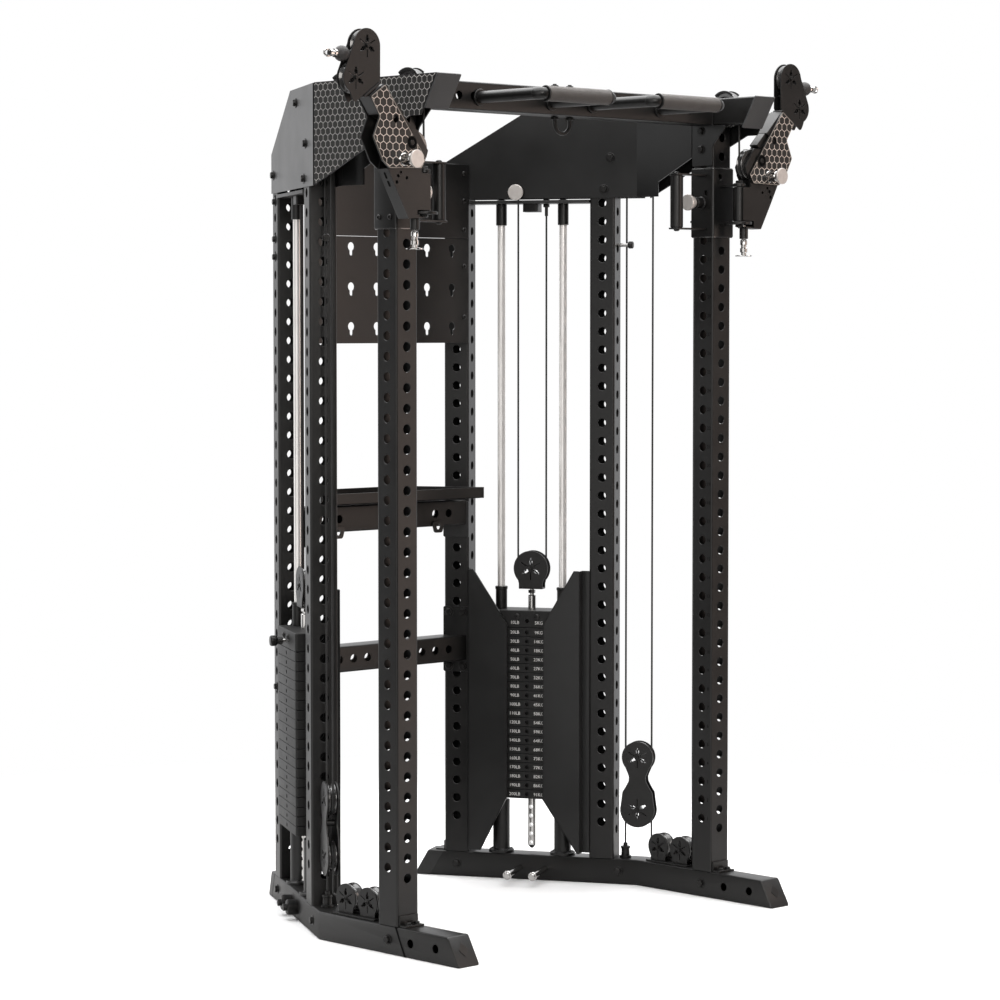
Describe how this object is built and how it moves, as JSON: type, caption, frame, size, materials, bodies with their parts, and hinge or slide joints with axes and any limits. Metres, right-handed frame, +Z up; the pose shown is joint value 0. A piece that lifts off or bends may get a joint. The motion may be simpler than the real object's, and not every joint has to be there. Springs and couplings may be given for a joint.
{
  "type": "functional trainer",
  "caption": "Dual-stack cable trainer: two towers with adjustable swivelling pulley arms joined by a pull-up beam, storage panel and shelf.",
  "frame": {"origin": "centre of the overall box at floor level", "axes": "+Z up, -Y the user's side, +X towards the tower on the user's right when facing the machine's front along +Y; X = 0 is the mirror plane"},
  "size_m": [1.754, 1.1001, 2.2349],
  "materials": {
    "black_powder_coat": "satin black powder coat",
    "panel_sheet": "satin black powder coat on sheet",
    "chrome": "polished chrome",
    "grey_disc": "brushed steel",
    "stack_iron": "black painted cast iron",
    "pulley_nylon": "moulded nylon",
    "stop_rubber": "moulded rubber"
  },
  "bodies": {
    "frame": {"pull_up_beam": "black_powder_coat", "rear_crossmember": "black_powder_coat", "storage_shelf": "black_powder_coat", "keyhole_panel": "panel_sheet", "right_base_rail": "black_powder_coat", "right_front_upright": "black_powder_coat", "right_mid_upright": "black_powder_coat", "right_rear_upright": "black_powder_coat", "right_top_rail": "black_powder_coat", "right_outer_side_panel": "panel_sheet", "right_inner_side_panel": "panel_sheet", "right_guide_rods": "chrome", "right_weight_plates": "stack_iron", "left_base_rail": "black_powder_coat", "left_front_upright": "black_powder_coat", "left_mid_upright": "black_powder_coat", "left_rear_upright": "black_powder_coat", "left_top_rail": "black_powder_coat", "left_outer_side_panel": "panel_sheet", "left_inner_side_panel": "panel_sheet", "left_guide_rods": "chrome", "left_weight_plates": "stack_iron"},
    "right_carriage": {"right_carriage": "black_powder_coat"},
    "right_carriage_pin": {"right_carriage_pin": "grey_disc"},
    "right_swivel": {"right_swivel_bracket": "black_powder_coat"},
    "right_swivel_pin": {"right_swivel_pin": "chrome"},
    "right_arm": {"right_arm": "panel_sheet"},
    "right_arm_pin": {"right_arm_pin": "grey_disc"},
    "right_head": {"right_pulley_head": "black_powder_coat"},
    "right_head_pulley_upper": {"right_head_pulley_upper": "pulley_nylon"},
    "right_head_pulley_lower": {"right_head_pulley_lower": "pulley_nylon"},
    "right_cable_stop": {"right_cable_stop": "stop_rubber"},
    "right_stack": {"right_head_plate": "stack_iron", "right_stack_pulley_block": "black_powder_coat"},
    "right_selector_pin": {"right_selector_pin": "chrome"},
    "right_stack_pulley": {"right_stack_pulley": "pulley_nylon"},
    "right_floating_block": {"right_floating_block": "black_powder_coat"},
    "right_floating_pulley_upper": {"right_floating_pulley_upper": "pulley_nylon"},
    "right_floating_pulley_lower": {"right_floating_pulley_lower": "pulley_nylon"},
    "right_floor_pulley_front": {"right_floor_pulley_front": "pulley_nylon"},
    "right_floor_pulley_rear": {"right_floor_pulley_rear": "pulley_nylon"},
    "left_carriage": {"left_carriage": "black_powder_coat"},
    "left_carriage_pin": {"left_carriage_pin": "grey_disc"},
    "left_swivel": {"left_swivel_bracket": "black_powder_coat"},
    "left_swivel_pin": {"left_swivel_pin": "chrome"},
    "left_arm": {"left_arm": "panel_sheet"},
    "left_arm_pin": {"left_arm_pin": "grey_disc"},
    "left_head": {"left_pulley_head": "black_powder_coat"},
    "left_head_pulley_upper": {"left_head_pulley_upper": "pulley_nylon"},
    "left_head_pulley_lower": {"left_head_pulley_lower": "pulley_nylon"},
    "left_cable_stop": {"left_cable_stop": "stop_rubber"},
    "left_stack": {"left_head_plate": "stack_iron", "left_stack_pulley_block": "black_powder_coat"},
    "left_selector_pin": {"left_selector_pin": "chrome"},
    "left_stack_pulley": {"left_stack_pulley": "pulley_nylon"},
    "left_floating_block": {"left_floating_block": "black_powder_coat"},
    "left_floating_pulley_upper": {"left_floating_pulley_upper": "pulley_nylon"},
    "left_floating_pulley_lower": {"left_floating_pulley_lower": "pulley_nylon"},
    "left_floor_pulley_front": {"left_floor_pulley_front": "pulley_nylon"},
    "left_floor_pulley_rear": {"left_floor_pulley_rear": "pulley_nylon"}
  },
  "joints": [
    {"name": "right_carriage_slide", "type": "slide", "parent": "frame", "child": "right_carriage", "axis": [0, 0, 1], "range_m": [-1.5, 0]},
    {"name": "right_carriage_pin_pull", "type": "slide", "parent": "right_carriage", "child": "right_carriage_pin", "axis": [-1, 0, 0], "range_m": [-0.008, 0.014]},
    {"name": "right_arm_swivel", "type": "hinge", "parent": "right_carriage", "child": "right_swivel", "pos_m": [0.5678, -0.37817, 1.858], "axis": [0, 0, 1], "range_deg": [-120, 15]},
    {"name": "right_swivel_pin_pull", "type": "slide", "parent": "right_swivel", "child": "right_swivel_pin", "axis": [0, 0, -1], "range_m": [0, 0.012]},
    {"name": "right_arm_raise", "type": "hinge", "parent": "right_swivel", "child": "right_arm", "pos_m": [0.629, -0.37767, 1.974], "axis": [0, 1, 0], "range_deg": [-15, 60]},
    {"name": "right_arm_pin_pull", "type": "slide", "parent": "right_arm", "child": "right_arm_pin", "axis": [0, -1, 0], "range_m": [-0.006, 0.01]},
    {"name": "right_head_swivel", "type": "hinge", "parent": "right_arm", "child": "right_head", "pos_m": [0.737, -0.37767, 2.0925], "axis": [0.5736, 0, 0.8192], "range_deg": [-90, 90]},
    {"name": "right_head_pulley_upper_spin", "type": "hinge", "parent": "right_head", "child": "right_head_pulley_upper", "pos_m": [0.76, -0.37767, 2.197], "axis": [0, 1, 0], "continuous": true},
    {"name": "right_head_pulley_lower_spin", "type": "hinge", "parent": "right_head", "child": "right_head_pulley_lower", "pos_m": [0.7957, -0.37767, 2.12], "axis": [0, 1, 0], "continuous": true},
    {"name": "right_cable_pull", "type": "slide", "parent": "right_head", "child": "right_cable_stop", "axis": [1, 0, 0], "range_m": [0, 1.6]},
    {"name": "right_stack_lift", "type": "slide", "parent": "frame", "child": "right_stack", "axis": [0, 0, 1], "range_m": [0, 0.8]},
    {"name": "right_selector_pin_pull", "type": "slide", "parent": "right_stack", "child": "right_selector_pin", "axis": [0.8738, 0.4863, 0], "range_m": [0, 0.12]},
    {"name": "right_stack_pulley_spin", "type": "hinge", "parent": "right_stack", "child": "right_stack_pulley", "pos_m": [0.41349, 0.24708, 0.865], "axis": [0.8738, 0.4863, 0], "continuous": true},
    {"name": "right_floating_block_lift", "type": "slide", "parent": "frame", "child": "right_floating_block", "axis": [0, 0, 1], "range_m": [0, 0.75]},
    {"name": "right_floating_pulley_upper_spin", "type": "hinge", "parent": "right_floating_block", "child": "right_floating_pulley_upper", "pos_m": [0.56245, -0.02056, 0.35], "axis": [0.8738, 0.4863, 0], "continuous": true},
    {"name": "right_floating_pulley_lower_spin", "type": "hinge", "parent": "right_floating_block", "child": "right_floating_pulley_lower", "pos_m": [0.56245, -0.02056, 0.205], "axis": [0.8738, 0.4863, 0], "continuous": true},
    {"name": "right_floor_pulley_front_spin", "type": "hinge", "parent": "frame", "child": "right_floor_pulley_front", "pos_m": [0.5678, -0.18417, 0.112], "axis": [1, 0, 0], "continuous": true},
    {"name": "right_floor_pulley_rear_spin", "type": "hinge", "parent": "frame", "child": "right_floor_pulley_rear", "pos_m": [0.5678, -0.10317, 0.112], "axis": [1, 0, 0], "continuous": true},
    {"name": "left_carriage_slide", "type": "slide", "parent": "frame", "child": "left_carriage", "axis": [0, 0, 1], "range_m": [-1.5, 0]},
    {"name": "left_carriage_pin_pull", "type": "slide", "parent": "left_carriage", "child": "left_carriage_pin", "axis": [1, 0, 0], "range_m": [-0.008, 0.014]},
    {"name": "left_arm_swivel", "type": "hinge", "parent": "left_carriage", "child": "left_swivel", "pos_m": [-0.5678, -0.37817, 1.858], "axis": [0, 0, 1], "range_deg": [-15, 120]},
    {"name": "left_swivel_pin_pull", "type": "slide", "parent": "left_swivel", "child": "left_swivel_pin", "axis": [0, 0, -1], "range_m": [0, 0.012]},
    {"name": "left_arm_raise", "type": "hinge", "parent": "left_swivel", "child": "left_arm", "pos_m": [-0.629, -0.37767, 1.974], "axis": [0, -1, 0], "range_deg": [-15, 60]},
    {"name": "left_arm_pin_pull", "type": "slide", "parent": "left_arm", "child": "left_arm_pin", "axis": [0, -1, 0], "range_m": [-0.006, 0.01]},
    {"name": "left_head_swivel", "type": "hinge", "parent": "left_arm", "child": "left_head", "pos_m": [-0.737, -0.37767, 2.0925], "axis": [-0.5736, 0, 0.8192], "range_deg": [-90, 90]},
    {"name": "left_head_pulley_upper_spin", "type": "hinge", "parent": "left_head", "child": "left_head_pulley_upper", "pos_m": [-0.76, -0.37767, 2.197], "axis": [0, 1, 0], "continuous": true},
    {"name": "left_head_pulley_lower_spin", "type": "hinge", "parent": "left_head", "child": "left_head_pulley_lower", "pos_m": [-0.7957, -0.37767, 2.12], "axis": [0, 1, 0], "continuous": true},
    {"name": "left_cable_pull", "type": "slide", "parent": "left_head", "child": "left_cable_stop", "axis": [-1, 0, 0], "range_m": [0, 1.6]},
    {"name": "left_stack_lift", "type": "slide", "parent": "frame", "child": "left_stack", "axis": [0, 0, 1], "range_m": [0, 0.8]},
    {"name": "left_selector_pin_pull", "type": "slide", "parent": "left_stack", "child": "left_selector_pin", "axis": [-0.8738, 0.4863, 0], "range_m": [0, 0.12]},
    {"name": "left_stack_pulley_spin", "type": "hinge", "parent": "left_stack", "child": "left_stack_pulley", "pos_m": [-0.41349, 0.24708, 0.865], "axis": [-0.8738, 0.4863, 0], "continuous": true},
    {"name": "left_floating_block_lift", "type": "slide", "parent": "frame", "child": "left_floating_block", "axis": [0, 0, 1], "range_m": [0, 0.75]},
    {"name": "left_floating_pulley_upper_spin", "type": "hinge", "parent": "left_floating_block", "child": "left_floating_pulley_upper", "pos_m": [-0.56245, -0.02056, 0.35], "axis": [-0.8738, 0.4863, 0], "continuous": true},
    {"name": "left_floating_pulley_lower_spin", "type": "hinge", "parent": "left_floating_block", "child": "left_floating_pulley_lower", "pos_m": [-0.56245, -0.02056, 0.205], "axis": [-0.8738, 0.4863, 0], "continuous": true},
    {"name": "left_floor_pulley_front_spin", "type": "hinge", "parent": "frame", "child": "left_floor_pulley_front", "pos_m": [-0.5678, -0.18417, 0.112], "axis": [1, 0, 0], "continuous": true},
    {"name": "left_floor_pulley_rear_spin", "type": "hinge", "parent": "frame", "child": "left_floor_pulley_rear", "pos_m": [-0.5678, -0.10317, 0.112], "axis": [1, 0, 0], "continuous": true}
  ],
  "couplings": [
    {"joint": "right_cable_pull", "follows": "right_stack_lift", "ratio": 2},
    {"joint": "right_floating_block_lift", "follows": "right_carriage_slide", "ratio": -0.5},
    {"joint": "left_cable_pull", "follows": "left_stack_lift", "ratio": 2},
    {"joint": "left_floating_block_lift", "follows": "left_carriage_slide", "ratio": -0.5}
  ]
}
